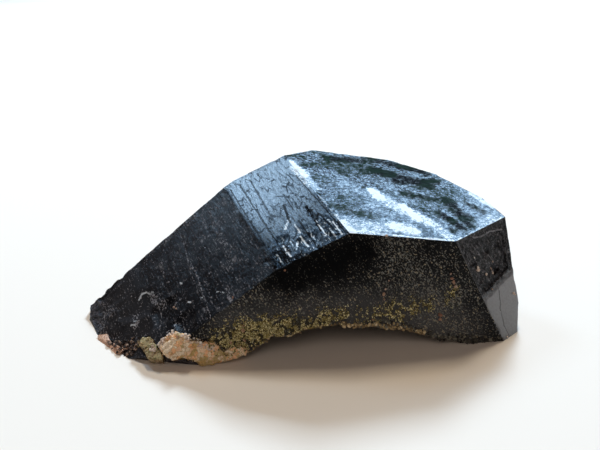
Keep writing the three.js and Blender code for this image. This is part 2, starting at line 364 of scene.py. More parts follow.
def chips(ground, number):
    """How far the crystal's sharp edges are worn back, and more so at the broken tip."""
    away = edge_distance(ground, number)
    worn = WORN_DEPTH * (1 - ease(away / WORN_WIDTH)) * np.maximum(layered(ground, 2.2, 71) + 0.1, 0)
    at_tip = ease((TIP_START - ground[:, 0]) / 4) * ease((ground[:, 2] - NICK_HEIGHT) / 2)
    nicks = NICK_DEPTH * (1 - ease(away / NICK_WIDTH)) * np.maximum(layered(ground, 2.6, 73) + 0.2, 0)
    return worn + at_tip * nicks


def make_crystal(materials):
    made = fine_copy("morion_crystal", "morion_skin", CRYSTAL_DEPTH)
    places, normals = corners_of(made.data)
    ground = from_ground(places)
    number = surface_of(ground)
    depth = carve(ground, number) + chips(ground, number)
    depth[ground[:, 2] < FOOT_HEIGHT] = 0
    set_corners(made.data, inside_box(places - normals * (depth * MM)[:, None]))
    for name in NAMES:
        made.data.materials.append(materials[name])
    middles = np.array([tuple(face.center) for face in made.data.polygons])
    made.data.polygons.foreach_set("material_index", surface_of(from_ground(middles)).astype(np.int32))
    shade(made.data, 28)
    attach(made, "root")
    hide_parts("morion_crystal")
    return made


# Colours of the crystal, its markings and the dust on it, and of the highlights, reflections and shade
# painted on it.
BLACK = (0.004, 0.0045, 0.006)
SOOT = (0.010, 0.009, 0.009)
BROKEN_GREY = (0.12, 0.108, 0.125)
PALE_DUST = (0.38, 0.365, 0.39)
# Partly the etched surface's own tone and partly a painted reflection of the blue sky.
ETCH_AND_SKY_BLUE = (0.045, 0.085, 0.14)
# A painted dark grey-green reflection, on the point's broad face.
DARK_REFLECTION_GREY = (0.05, 0.08, 0.085)
# Partly the etched surface's own tone and partly a painted reflection of the blue sky, paler.
ETCH_AND_SKY_STEEL = (0.20, 0.30, 0.40)
# A painted reflection of green leaves, on the point's broad face.
LEAF_REFLECTION_GREEN = (0.010, 0.024, 0.017)
# White frost, also used for painted highlights and glints.
FROST_AND_HIGHLIGHT = (0.80, 0.88, 0.95)
# The colour of painted glints.
GLINT = (0.56, 0.6, 0.64)
FRONT_DARK = (0.002, 0.002, 0.0025)
# Dust and a painted reflection of the pale floor, on the front face.
DUST_AND_REFLECTION_GREY = (0.066, 0.066, 0.068)
FRONT_SCORED = (0.1, 0.1, 0.1)
UNDER_DRUSE = (0.03, 0.026, 0.012)
GRAIN_DARK = (0.12, 0.13, 0.115)
GRAIN_PALE = (0.25, 0.245, 0.22)
GRAIN_TAN = (0.43, 0.35, 0.23)
# The etched end's smooth lower part: a grey that is a painted reflection.
END_DARK = (0.14, 0.145, 0.155)
END_PALE = (0.18, 0.185, 0.2)

QUARTZ_IOR = 1.544
FELDSPAR_IOR = 1.52
PLAIN_IOR = 1.5
CENTRE = (0.5, 0.5, 0.5)


def ends(mark):
    """Where a mark on a face starts and ends, each across and along the face."""
    return np.array(mark[:4], dtype=float).reshape(2, 2)


class Value:
    """A number, place or colour in a material. Numbers can be added, taken away and multiplied."""

    def __init__(self, nodes, socket):
        self.nodes = nodes
        self.socket = socket

    def __add__(self, other):
        return self.nodes.math("ADD", self, other)

    def __sub__(self, other):
        return self.nodes.math("SUBTRACT", self, other)

    def __rsub__(self, other):
        return self.nodes.math("SUBTRACT", other, self)

    def __mul__(self, other):
        return self.nodes.math("MULTIPLY", self, other)

    __radd__ = __add__
    __rmul__ = __mul__

    def ramp(self, low, high, to_low=0.0, to_high=1.0):
        """A smooth step, from to_low where this number is low to to_high where it is high."""
        values = {"Value": self, "From Min": low, "From Max": high, "To Min": to_low, "To Max": to_high}
        return self.nodes.value("ShaderNodeMapRange", values, interpolation_type="SMOOTHSTEP")


class Nodes:
    """A material's nodes. Sizes and places in them are in millimetres."""

    def __init__(self, name):
        self.material = bpy.data.materials.new(name)
        self.material.use_nodes = True
        self.tree = self.material.node_tree
        self.tree.nodes.clear()

    def add(self, kind, values=None, **settings):
        made = self.tree.nodes.new(kind)
        for name, value in settings.items():
            setattr(made, name, value)
        for name, value in (values or {}).items():
            self.put(made.inputs[name], value)
        return made

    def value(self, kind, values=None, output=0, **settings):
        """What one output of a new node gives."""
        return Value(self, self.add(kind, values, **settings).outputs[output])

    def put(self, socket, value):
        if isinstance(value, Value):
            self.tree.links.new(value.socket, socket)
        else:
            socket.default_value = value

    def put_colour(self, socket, colour):
        self.put(socket, colour if isinstance(colour, Value) else (*colour, 1))

    def math(self, operation, *values, clamp=False):
        return self.value("ShaderNodeMath", dict(enumerate(values)), operation=operation, use_clamp=clamp)

    def vector(self, operation, *values, output="Vector"):
        return self.value("ShaderNodeVectorMath", dict(enumerate(values)), output, operation=operation)

    def dot(self, first, second):
        return self.vector("DOT_PRODUCT", first, second, output="Value")

    def most(self, first, *others):
        for other in others:
            first = self.math("MAXIMUM", first, other)
        return first

    def place(self, axes=None):
        """The point being shaded, from the ground point, along a surface's three directions."""
        point = self.value("ShaderNodeTexCoord", output="Object")
        ground = self.vector("MULTIPLY_ADD", point, (1 / MM,) * 3, tuple(MIDDLE))
        if axes is None:
            return ground
        parts = [self.dot(ground, tuple(row)) for row in axes]
        return self.value("ShaderNodeCombineXYZ", dict(enumerate(parts)))

    def parts(self, place):
        """A place's three numbers."""
        return [Value(self, out) for out in self.add("ShaderNodeSeparateXYZ", {0: place}).outputs]

    def stretch(self, place, scale):
        return self.vector("MULTIPLY", place, scale)

    def noise(self, place, size, detail=3.0, rough=0.55, distortion=0.0, scale=None):
        if scale:
            place = self.stretch(place, scale)
        values = {"Vector": place, "Scale": 1 / size, "Detail": detail, "Roughness": rough,
                  "Distortion": distortion}
        return self.value("ShaderNodeTexNoise", values)

    def wobble(self, place, size, amount):
        """A place moved about at random, so that what is drawn with it has uneven edges."""
        values = {"Vector": place, "Scale": 1 / size, "Detail": 3.0}
        shift = self.vector("SUBTRACT", self.value("ShaderNodeTexNoise", values, "Color"), CENTRE)
        return self.vector("MULTIPLY_ADD", shift, (2 * amount, 2 * amount, 0), place)

    def cells(self, place, size, feature="F1"):
        """What a pattern of cells of about the given size gives, by name."""
        made = self.add("ShaderNodeTexVoronoi", {"Vector": place, "Scale": 1 / size}, feature=feature)
        return {out.name: Value(self, out) for out in made.outputs}

    def mix(self, factor, first, second):
        made = self.add("ShaderNodeMix", {0: factor}, data_type="RGBA")
        self.put_colour(made.inputs[6], first)
        self.put_colour(made.inputs[7], second)
        return Value(self, made.outputs[2])

    def coats(self, colour, *coats):
        """A colour with others over it, each with its strength."""
        for strength, coat in coats:
            colour = self.mix(strength, colour, coat)
        return colour

    def stroke(self, place, mark, soft):
        """A brush stroke on a face: its strength along its middle and 0 outside."""
        start, end = ends(mark)
        width, strength = mark[4:]
        run = end - start
        flat = self.vector("MULTIPLY", place, (1, 1, 0))
        offset = self.vector("SUBTRACT", flat, (*start, 0))
        part = self.dot(offset, (*(run / (run @ run)), 0))
        part = self.math("ADD", part, 0.0, clamp=True)
        nearest = self.vector("MULTIPLY", self.spread(part), (*run, 0))
        distance = self.vector("DISTANCE", offset, nearest, output="Value")
        return strength * distance.ramp(width, width * soft)

    def spread(self, value):
        """A number as a vector with that number three times. Many strokes render only with this node."""
        return self.value("ShaderNodeCombineXYZ", {0: value, 1: value, 2: value})

    def strokes(self, place, marks, soft=0.4):
        """The strongest of several strokes. Soft is the share of their width that has their full strength."""
        return self.most(*[self.stroke(place, mark, soft) for mark in marks])

    def grains(self, place, size, chance, scale=(1, 1, 1)):
        """1 on scattered grains of about the given size. Every grain shows where the chance is above 1."""
        cells = self.cells(self.stretch(place, scale), size)
        shown = self.math("GREATER_THAN", cells["Color"] + chance, 1.0)
        return shown * cells["Distance"].ramp(0.5, 0.3)

    def facets(self, place, size, tilt):
        """The height of small flat facets that each lean their own way."""
        small = self.stretch(place, (1 / size,) * 3)
        cells = self.cells(small, 1)
        inside = self.vector("SUBTRACT", small, cells["Position"])
        lean = self.vector("SUBTRACT", cells["Color"], CENTRE)
        return tilt * size * self.dot(inside, lean)

    def rim(self, names, width):
        """1 at the rim where the given surfaces meet this one, fading to 0 over width."""
        ground = self.place()
        heights = []
        for name in names:
            axes, reach = SURFACES[name]
            heights.append(self.dot(ground, tuple(axes[2])) - reach)
        return self.most(*heights).ramp(-width, 0)

    def finish(self, colour, roughness, height=None, shine=0.5, ior=QUARTZ_IOR):
        """The material. Where a height is given, it is the relief in millimetres."""
        values = {"Roughness": roughness, "Specular IOR Level": shine, "IOR": ior}
        if height:
            bump = {"Height": height, "Strength": 1.0, "Distance": MM}
            values["Normal"] = self.value("ShaderNodeBump", bump)
        shader = self.add("ShaderNodeBsdfPrincipled", values)
        self.put_colour(shader.inputs["Base Color"], colour)
        out = self.add("ShaderNodeOutputMaterial")
        self.tree.links.new(shader.outputs[0], out.inputs[0])
        return self.material


def face_nodes(name):
    """The nodes for a face's material, and places on the face: across it, along it and out of it."""
    nodes = Nodes("morion_" + name)
    return nodes, nodes.place(SURFACES[name][0])


# Marks drawn on a face: where each starts, across and along the face, where it ends, its half width and
# its strength. These are the scratches, dust and crisp bright marks of the upper prism face, the brightest
# being painted glints.
PRISM_MARKS = [
    (-19.3, -13.8, -6, -15.6, 0.22, 0.35),
    (-6, -15.6, -4.2, -14.8, 0.8, 0.4),
    (-4.8, -14.7, 13.5, -16.7, 0.22, 0.5),
    (-5.3, -16.0, 12.7, -17.3, 0.2, 0.35),
    (-7.9, -31.1, -8.9, -29.6, 0.5, 0.95),
    (-8.9, -29.6, -7.7, -28, 0.42, 0.85),
    (-7.7, -28, -5.2, -26.7, 0.35, 0.6),
    (-6.3, -27.6, -0.4, -26.2, 1.8, 0.3),
    (-2.3, -25.8, -0.5, -26.4, 0.6, 0.5),
    (1, -27.2, 6.2, -28.9, 0.3, 0.4),
    (-0.5, -35, -1.2, -33.4, 0.6, 0.75),
    (2, -26.6, 1.8, -20.8, 0.22, 0.35),
    (9.3, -25.8, 6.8, -24.4, 0.3, 0.4),
    (12.3, -10.8, 8.4, -9.9, 0.8, 0.35),
    (4.2, -19.8, 4.8, -19.4, 0.3, 0.95),
    (-3.1, -19.5, -2.6, -19.3, 0.3, 0.9),
    (-13.9, -39.9, -10, -39, 1.6, 0.3),
    (-15, -41.5, -6, -43.5, 2.6, 0.28),
    (-21, -24, -21, -8, 2.2, 0.16),
    (-20, -4, 8, -6, 1.8, 0.14),
    (-20, -6.6, -13, -7.2, 0.5, 0.3),
    (-14, -22, -8.5, -22.6, 0.6, 0.3),
    (5.4, -22.6, 10.6, -23.4, 0.25, 0.5),
    (2.4, -23.6, 4.2, -24.2, 0.5, 0.35),
]
PRISM_GLINTS = [
    (-7.9, -31.1, -8.9, -29.9, 0.26, 0.8),
    (-8.9, -29.9, -8.3, -28.6, 0.3, 0.9),
    (-8.3, -28.6, -6.9, -27.8, 0.22, 0.6),
    (-7.2, -27.2, -6.3, -26.8, 0.3, 0.4),
    (-1.7, -35.3, -1.0, -34.3, 0.3, 0.8),
    (-2.0, -34.2, -1.8, -33.7, 0.24, 0.5),
    (-3.1, -19.5, -2.6, -19.3, 0.24, 0.9),
    (4.2, -19.8, 4.8, -19.4, 0.24, 0.9),
    (7.4, -12.6, 7.7, -12.2, 0.2, 0.8),
    (8.6, -11.4, 9.0, -11.3, 0.24, 0.6),
    (5.8, -16.4, 6.0, -16.2, 0.16, 0.8),
]


def prism_look(name, marks=(), glints=()):
    """The upper prism face: near black, dusted with faint flecks, scored across, and with painted glints
    where it is given them.
    """
    nodes, place = face_nodes(name)
    across, along, out = nodes.parts(place)
    cloudy = nodes.noise(place, 4, detail=5, rough=0.65, distortion=0.6).ramp(0.42, 0.62)
    flecks = nodes.noise(place, 0.42, rough=0.75, scale=(0.7, 1.2, 1))
    scratches = nodes.noise(place, 0.45, rough=0.6, scale=(0.09, 1.3, 1))
    lumpy = nodes.noise(place, 2.5, detail=7, rough=0.65)
    near_tip = along.ramp(DULL_PRISM, LUMPY_PRISM)
    amount = 0.8 * flecks + 0.35 * scratches + 0.045 * cloudy
    if marks:
        drawn = nodes.strokes(nodes.wobble(place, 0.8, 0.5), marks)
        amount += 0.24 * drawn * flecks.ramp(0.38, 0.62, 0.2, 1.2)
    dots = nodes.grains(place, 0.55, 0.13) * flecks.ramp(0.4, 0.6, 0.1, 0.8)
    dust = nodes.most(amount.ramp(0.64, 0.82, 0, 0.8), dots, 0.06 * near_tip)
    colour = nodes.mix(dust, BLACK, PALE_DUST)
    # Painted glints: crisp bright marks painted into the colour.
    if glints:
        colour = nodes.mix(nodes.strokes(nodes.wobble(place, 0.6, 0.2), glints, 0.5), colour, GLINT)
    rough = cloudy.ramp(0, 1, 0.2, 0.38) + 0.5 * near_tip
    shine = across.ramp(-20, 3, 0.42, 0.2) * near_tip.ramp(0, 1, 1, 0.12)
    return nodes.finish(colour, rough, 0.05 * scratches + 0.16 * lumpy, shine)


# The painted glints on the bent strip's scales, and its dark cracks.
BEND_GLINTS = [
    (-17, 15.6, -7, 15.8, 0.9, 0.5),
    (5, 1.5, 5.4, 10, 2.0, 0.22),
    (2.9, 4.5, 0.5, 6.7, 0.6, 0.8),
    (3, 7, 6.5, 7, 0.32, 0.8),
    (7.7, 6.4, 12, 6.5, 0.34, 1.0),
    (7.7, 1.8, 12, 1.8, 0.34, 1.0),
    (8.9, -0.7, 12.3, -0.6, 0.28, 0.8),
    (8.5, 5.2, 10.9, 3.9, 0.3, 0.8),
    (4, 11.6, 6.1, 11.8, 0.25, 0.8),
    (7.2, 11.7, 11.6, 11.6, 0.32, 1.0),
    (7.5, 14.3, 9.6, 14.3, 0.25, 0.7),
    (8.9, 14.8, 14.2, 14.7, 0.28, 0.95),
    (10.4, 13.2, 13.8, 13.2, 0.25, 0.7),
    (10.3, -5.7, 13.4, -3.8, 0.7, 0.55),
    (7.7, -4.2, 11.3, -4.5, 0.3, 0.6),
    (6.6, 9.4, 8.7, 8.9, 0.28, 0.6),
    (13.2, 0.6, 15, 0.7, 0.3, 0.6),
    (7.2, 3.8, 9.5, 3.6, 0.25, 0.6),
    (10.2, -2.9, 12.8, -2.7, 0.25, 0.7),
]
BEND_CRACKS = [
    (-22, -2.3, 10, -3.1, 0.3, 1.0),
    (-21.5, -1.2, 9.5, -2, 0.22, 0.9),
    (-22, -3.5, 9.6, -3.7, 0.2, 0.8),
    (-0.6, 12.2, 9.7, 11.1, 0.3, 1.0),
    (-20.9, 4.6, -1.1, 3.4, 0.22, 0.8),
    (-5.2, 7.7, 1.7, 6.5, 0.35, 1.0),
    (-21.6, 1.6, 13.6, 0.8, 0.22, 0.85),
    (-12.8, 15.1, 14.2, 15.5, 0.25, 0.9),
    (-9, 9.4, -2, 9.0, 0.25, 0.8),
    (2.5, 8.4, 12, 8.2, 0.3, 0.9),
    (4, 13.4, 12, 13.9, 0.3, 0.9),
    (-9.9, 7.4, -7.2, 10.2, 0.2, 0.7),
]


def bend_look(name):
    """The bent strip: growth lines and short cross cracks, broken into scales at the front with painted
    glints on them, and lighter towards the back with a painted sky sheen.
    """
    nodes, place = face_nodes(name)
    across, along, out = nodes.parts(place)
    uneven = nodes.wobble(place, 1.0, 0.3)
    lines = nodes.noise(place, 0.45, detail=4, rough=0.75, scale=(0.05, 1, 0.3))
    bricks = nodes.cells(nodes.stretch(uneven, (0.22, 1, 0.5)), 1.2, feature="DISTANCE_TO_EDGE")
    cracked = bricks["Distance"].ramp(0.05, 0.0) * nodes.noise(place, 3.5).ramp(0.42, 0.6, 0, 0.9)
    cracks = nodes.most(cracked, nodes.strokes(uneven, BEND_CRACKS))
    front = across.ramp(1, 10)
    # Lighter towards the back: a painted sky sheen.
    back = across.ramp(3, -17)
    seam = along.ramp(3, -6) * lines.ramp(0.52, 0.36) * back.ramp(0, 1, 1, 0.4)
    toe = (along - 0.28 * across).ramp(3.5, -5.5)
    scales = nodes.facets(nodes.stretch(uneven, (0.6, 1, 1)), 1.2, 0.5)
    mottle = nodes.noise(place, 0.8, detail=5, rough=0.75, scale=(0.6, 1, 1))
    grit = nodes.noise(place, 0.4, rough=0.7, scale=(0.7, 1, 1)).ramp(0.35, 0.65, -0.07, 0.07)
    # Painted glints: fine bright streaks on the scales at the front.
    glints = nodes.noise(uneven, 0.6, detail=2, rough=0.6, scale=(0.5, 1.6, 1)).ramp(0.58, 0.68) * front
    amount = mottle + 0.46 * nodes.strokes(uneven, BEND_GLINTS) + 0.4 * glints + grit
    amount = amount - 0.1 * toe + 0.12 * back - 0.2 * seam - 0.05 * lines.ramp(0.45, 0.3)
    colour = nodes.coats(
        BLACK,
        (amount.ramp(0.38, 0.6), ETCH_AND_SKY_BLUE),
        (amount.ramp(0.6, 0.75, 0, 0.7), ETCH_AND_SKY_STEEL),
        (amount.ramp(0.76, 0.88), FROST_AND_HIGHLIGHT),
        (cracks, BLACK),
    )
    dim = nodes.most(0.6 * toe, 0.12 * front, 0.85 * cracks, 0.6 * seam)
    shine = (1 - dim) * amount.ramp(0.3, 0.65, 0.6, 1.0) * along.ramp(-5, 1, 0.4, 1)
    shine *= across.ramp(-14, 13, 1, 0.5)
    height = 0.05 * lines - 0.06 * cracks + front * scales + 0.05 * mottle
    return nodes.finish(colour, mottle.ramp(0.3, 0.7, 0.18, 0.32), height, shine)


# The point's broad face: white streaks of frost and painted highlight, marks with a painted reflection of the
# sky, and marks with a painted dark reflection.
TOP_FROST_AND_HIGHLIGHT = [
    (-18.6, 0.2, -11.8, 0.8, 2.8, 1.0),
    (-11.8, 0.6, -6, 1.0, 2.6, 0.7),
    (-6, 0.4, 13.5, 0.4, 0.7, 0.6),
    (-1.4, 16.0, 1.6, 16.2, 2.6, 1.0),
    (1.0, 16.4, 5.5, 17.6, 3.2, 0.8),
    (5.5, 18, 9.2, 19.7, 3.0, 0.75),
    (6.8, 20, 12.6, 20.8, 2.4, 1.05),
    (11, 21.4, 16, 23.3, 2.6, 0.8),
    (14.8, 13, 17.4, 16.4, 3.4, 0.9),
    (15.6, 22.6, 21.6, 24.3, 2.4, 0.65),
    (4.6, 43.4, 12, 45.2, 1.8, 0.8),
    (2, 41.6, 12, 42.4, 1.8, 0.3),
    (12.7, 11.4, 16.3, 16.3, 3.2, 0.2),
    (10.5, 0.6, 14.5, 1.2, 2.2, 0.9),
    (14.5, 1.2, 18.2, 9.9, 1.5, 0.7),
    (10.5, 2.2, 15.5, 8.6, 3.6, 0.4),
    (18.1, 10.1, 23.6, 24.3, 0.8, 0.8),
    (23.5, 25.3, 17.0, 44.3, 0.5, 0.7),
    (18.6, 35.4, 15.4, 44.2, 2.4, 0.4),
]
TOP_SKY_REFLECTION = [
    (-12, 3.5, -4, 8, 4.5, 0.4),
    (-9, 9, 0, 12, 4.0, 0.8),
    (4, 12, 14, 20, 4.5, 0.7),
    (-3, 21, 5, 23, 2.5, 0.45),
    (2, 7, 1, 9, 2.6, 0.7),
    (12, 4, 16, 18, 4.0, 0.3),
]
TOP_DARK_REFLECTION = [
    (-11.4, 22.4, -1.5, 32.9, 3.8, 1.0),
    (-4.6, 25, -3, 37, 2.6, 1.0),
    (-18.5, 24, -8, 37, 3.4, 0.9),
    (-20, 12, -17, 22, 3.4, 0.8),
    (-14, 18, -10, 20, 2.4, 0.5),
    (6.4, 33.9, 17.9, 33.3, 3.4, 1.0),
    (12.2, 28, 19, 30, 2.6, 1.0),
    (3.4, 2.6, 8.1, 6.4, 2.2, 0.6),
    (7.1, 6.8, 11.2, 10.4, 1.6, 0.4),
    (9, 38.8, 14, 40.9, 2.0, 0.7),
    (1.5, 24, 6, 31, 2.4, 0.8),
    (20.2, 25.5, 18.2, 31, 1.4, 0.8),
]
TOP_RIMS = ("point_back", "point_corner", "point_under")


def top_look(name, frost_highlight_marks=(), light=(), dark=()):
    """A face of the point: finely etched and mottled blue-grey and black, the blue partly a painted sky
    reflection. Where it has marks it has frost and painted highlights, painted sky reflections and painted
    dark reflections.
    """
    nodes, place = face_nodes(name)
    across, along, out = nodes.parts(place)
    uneven = nodes.wobble(place, 1.8, 1.1)
    wavy = nodes.noise(place, 0.85, detail=6, rough=0.74, distortion=0.5, scale=(1, 0.75, 1))
    grit = nodes.noise(place, 0.42, rough=0.7)
    broad = nodes.noise(place, 4, detail=4, rough=0.6, distortion=0.8, scale=(0.8, 0.5, 1))
    swell = nodes.noise(place, 1.1, detail=2, scale=(1, 0.75, 1))
    mottle = 0.45 * wavy.ramp(0.38, 0.62) + 0.32 * grit.ramp(0.36, 0.64) + 0.24 * broad.ramp(0.36, 0.64)
    amount = mottle + across.ramp(-18, 16, -0.12, 0.06)
    haze, deep = ETCH_AND_SKY_BLUE, SOOT
    if light:
        # White streaks of frost and painted highlight.
        frost_highlight = nodes.strokes(nodes.wobble(place, 1.6, 1.1), frost_highlight_marks, 0.3) * mottle.ramp(0.1, 0.7, 1.2, 1.6)
        # The dark marks are a painted dark reflection, and the light marks a painted reflection of the sky.
        dim = nodes.strokes(uneven, dark, 0.1)
        amount += 0.22 * nodes.strokes(uneven, light, 0)
        amount = amount * dim.ramp(0, 1, 1, 0.55) - 0.07 * dim
        amount = nodes.most(amount, frost_highlight, 0.5 * frost_highlight + amount)
        # In the dark marks the haze is a painted dark reflection; the deepest colour is a painted reflection
        # of green leaves.
        haze, deep = nodes.mix(dim, ETCH_AND_SKY_BLUE, DARK_REFLECTION_GREY), LEAF_REFLECTION_GREEN
    else:
        amount *= 0.49
    amount += 0.12 * nodes.rim(TOP_RIMS, 3)
    # Painted glints: tiny white grains.
    glints = nodes.grains(place, 0.7, 0.025) * wavy.ramp(0.4, 0.55)
    colour = nodes.coats(
        nodes.mix(broad.ramp(0.4, 0.6), deep, BLACK),
        (amount.ramp(0.3, 0.66), haze),
        (amount.ramp(0.65, 0.9), ETCH_AND_SKY_STEEL),
        (nodes.most(amount.ramp(0.95, 1.3), glints), FROST_AND_HIGHLIGHT),
    )
    rough = amount.ramp(0.1, 0.45, 0.45, 0.1) + amount.ramp(0.5, 1.3, 0, 0.2)
    shine = amount.ramp(0.25, 0.95, 0.01, 0.55)
    return nodes.finish(colour, rough, 0.12 * swell + 0.02 * grit, shine)


# The front face's blackest parts, its parts grey with dust and a painted reflection of the floor, and its
# most speckled parts.
FRONT_BLACK = [
    (-16, 3, -10, 20, 9.5, 1.0),
    (-6, 40, 0, 34, 4, 0.6),
]
FRONT_DUST_AND_REFLECTION = [
    (-13, -14, 0, 8, 9.5, 0.8),
    (2, 8, 14, 24, 11, 1.0),
    (14, 24, 29, 24, 13, 1.0),
]
FRONT_SPECKLED = [
    (-6, 26, 14, 28, 12, 0.8),
    (14, 28, 27, 22, 12, 0.9),
    (-16, -8, -10, 2, 7, 0.5),
]
# The druse on the front face, as marks, with how full each is for its strength.
DRUSE_BANDS = [
    (-13.4, -19.5, -9.4, -14.5, 2.4, 1.0),
    (-11.9, -15.5, -7.9, -9.0, 3.4, 1.0),
    (-7.9, -9.5, -4.4, -2.5, 3.1, 1.0),
    (-4.6, -3.0, -0.6, 3.5, 2.4, 0.9),
    (-2.4, 3.0, 0.9, 8.0, 2.2, 0.35),
    (3.0, 11.0, 10.0, 20.0, 2.6, 0.22),
    (6.5, 17.5, 11.5, 26.0, 2.6, 0.28),
    (12.0, 33.0, 14.5, 30.0, 1.6, 0.25),
]


def front_look(name, dust=1.0):
    """The front prism face: dull black, finely scored, with a dust of tiny tan, grey and olive grains, and
    grey in places with dust and a painted reflection of the floor.
    """
    nodes, place = face_nodes(name)
    uneven = nodes.wobble(place, 4, 3)
    lines = nodes.noise(place, 0.55, detail=4, rough=0.7, scale=(0.07, 1, 0.3))
    clumps = nodes.noise(place, 1.3, detail=4, rough=0.6, scale=(0.4, 1, 1))
    salt = nodes.noise(place, 0.36, detail=1, rough=0.6, scale=(0.75, 1, 1))
    hue = nodes.noise(place, 0.6, detail=2)
    speckled = nodes.strokes(uneven, FRONT_SPECKLED, 0)
    black = nodes.strokes(uneven, FRONT_BLACK, 0)
    # Grey in places: dust and a painted reflection of the floor.
    dust_and_reflection = nodes.strokes(uneven, FRONT_DUST_AND_REFLECTION, 0) * (1 - black)
    salt = (salt + 0.07 * speckled + 0.34 * clumps - 0.08 * black).ramp(0.73, 0.83)
    chance = 0.14 * speckled + clumps.ramp(0.35, 0.65, 0.04, 0.3) - 0.1 * black
    coarse = nodes.grains(uneven, 0.44, chance, (0.7, 1, 1)) * hue.ramp(0.38, 0.62, 0.35, 1)
    dots = nodes.most(coarse, 0.8 * salt) * black.ramp(0, 1, dust, 0.3 * dust)
    grains = nodes.coats(GRAIN_DARK, (hue.ramp(0.35, 0.5), GRAIN_PALE), (hue.ramp(0.54, 0.64), GRAIN_TAN))
    colour = nodes.coats(
        FRONT_DARK,
        (dust_and_reflection, DUST_AND_REFLECTION_GREY),
        (0.35 * lines.ramp(0.5, 0.72) * dust_and_reflection, FRONT_SCORED),
        (nodes.strokes(uneven, DRUSE_BANDS, 0.5), UNDER_DRUSE),
        (dots, grains),
    )
    return nodes.finish(colour, 0.5, 0.12 * dots + 0.06 * lines, black.ramp(0, 1, 0.14, 0.04))


# The pale crest and the cracks of the etched end.
END_RIDGE = [
    (3.9, 23.2, 5.7, 26, 0.35, 1.0),
    (5.7, 26, 7.3, 29.8, 0.35, 1.0),
    (7.3, 29.8, 10, 33.8, 0.35, 1.0),
    (4.8, 22, 9.4, 22.4, 0.25, 0.6),
    (6.6, 24.4, 13.6, 25.2, 0.25, 0.6),
    (11.6, 32, 15.6, 30.4, 0.25, 0.45),
    (3, 18.6, 12, 16.4, 0.2, 0.5),
    (1, 17.8, 15, 13.8, 0.18, 0.5),
    (2, 19.6, 13.4, 17.6, 0.14, 0.4),
]
END_CRACKS = [
    (15.1, 22.1, 18.8, 20.6, 0.2, 1.0),
    (18.8, 20.6, 22.4, 17.2, 0.22, 1.0),
    (22.4, 17.2, 25.7, 15.3, 0.16, 1.0),
    (25.7, 15.3, 28.9, 14.6, 0.16, 0.9),
]


def etched_look(name):
    """The etched end: black and lumpy with a pale crest, smooth grey and glossy in its lower part, where the
    grey is a painted reflection.
    """
    nodes, place = face_nodes(name)
    uneven = nodes.wobble(place, 1.2, 0.5)
    across, along, out = nodes.parts(uneven)
    start = SMOOTH_START - SMOOTH_SLANT * SMOOTH_MIDDLE
    ragged = 3 * nodes.noise(place, 1.6, detail=4)
    smooth = (across - SMOOTH_SLANT * along + ragged).ramp(start + 0.8, start + 2.2)
    lumpy = nodes.noise(place, 1.1, detail=6, rough=0.7, distortion=0.5)
    fine = nodes.noise(place, 0.5, detail=4, rough=0.7)
    dust = fine.ramp(0.46, 0.64) * lumpy.ramp(0.4, 0.6, 0.02, 0.62)
    crest = nodes.strokes(uneven, END_RIDGE) * fine.ramp(0.3, 0.5)
    crack = nodes.strokes(uneven, END_CRACKS)
    upper = nodes.mix(nodes.most(dust, 0.7 * crest), BLACK, PALE_DUST)
    # The lower part's grey: a painted reflection.
    lower = nodes.mix(fine.ramp(0.3, 0.7), END_DARK, END_PALE)
    colour = nodes.coats(upper, (smooth, lower), (0.85 * crack, BLACK))
    height = lumpy * smooth.ramp(0, 1, 0.6, 0.04) - 0.1 * crack
    rough = smooth.ramp(0, 1, 0.4, 0.22)
    return nodes.finish(colour, rough, height, smooth.ramp(0, 1, 0.25, 0.5))


def broken_look(name):
    """Broken quartz: black, lumpy, half glossy, dusted grey in places."""
    nodes = Nodes("morion_" + name)
    place = nodes.place()
    lumpy = nodes.noise(place, 1.8, detail=6, rough=0.65)
    dust = nodes.noise(place, 0.7, detail=4, rough=0.7).ramp(0.42, 0.62)
    dust *= nodes.noise(place, 3).ramp(0.4, 0.6, 0.3, 0.95)
    return nodes.finish(nodes.mix(dust, SOOT, BROKEN_GREY), 0.45, 0.7 * lumpy)


def crystal_materials():
    """One material for each surface of the crystal."""
    made = {name: broken_look(name) for name in NAMES if name in BREAKS or name in ("point_under", "inner")}
    made["upper_front"] = prism_look("upper_front", PRISM_MARKS, PRISM_GLINTS)
    made["upper_back"] = prism_look("upper_back")
    made["upper_back_bend"] = prism_look("upper_back_bend")
    made["upper_front_bend"] = bend_look("upper_front_bend")
    made["point_top"] = top_look("point_top", TOP_FROST_AND_HIGHLIGHT, TOP_SKY_REFLECTION, TOP_DARK_REFLECTION)
    for name in ("point_back", "point_rear", "point_corner", "point_low"):
        made[name] = top_look(name)
    made["front"] = front_look("front")
    made["back"] = front_look("back", dust=0.45)
    made["point_front"] = etched_look("point_front")
    return made


crystal = make_crystal(crystal_materials())


def feldspar_look(name, light, dark, tint):
    """Crumbly feldspar: mottled, matt and grainy, with a tint in patches, between its plates and low down."""
    nodes = Nodes(name)
    place = nodes.place()
    x, y, height = nodes.parts(place)
    uneven = nodes.wobble(place, 0.9, 0.5)
    mottle = nodes.noise(place, 1.6, detail=5, rough=0.65)
    grain = nodes.cells(place, 0.45)
    plates = nodes.cells(uneven, 1.1)
    gaps = nodes.cells(uneven, 1.1, feature="DISTANCE_TO_EDGE")
    patches = nodes.noise(place, 2.2, detail=4) + height.ramp(4.2, 0.8, 0, 0.09)
    colour = nodes.coats(
        dark,
        ((0.6 * mottle + 0.4 * plates["Color"]).ramp(0.36, 0.62), light),
        (0.8 * patches.ramp(0.53, 0.62), tint),
        (grain["Color"].ramp(0.7, 1.0, 0, 0.35), light),
        (gaps["Distance"].ramp(0.09, 0.0, 0, 0.65), tint),
    )
    relief = 0.5 * mottle + nodes.facets(place, 0.5, 0.5)
    return nodes.finish(colour, 0.62, relief, 0.3, FELDSPAR_IOR)


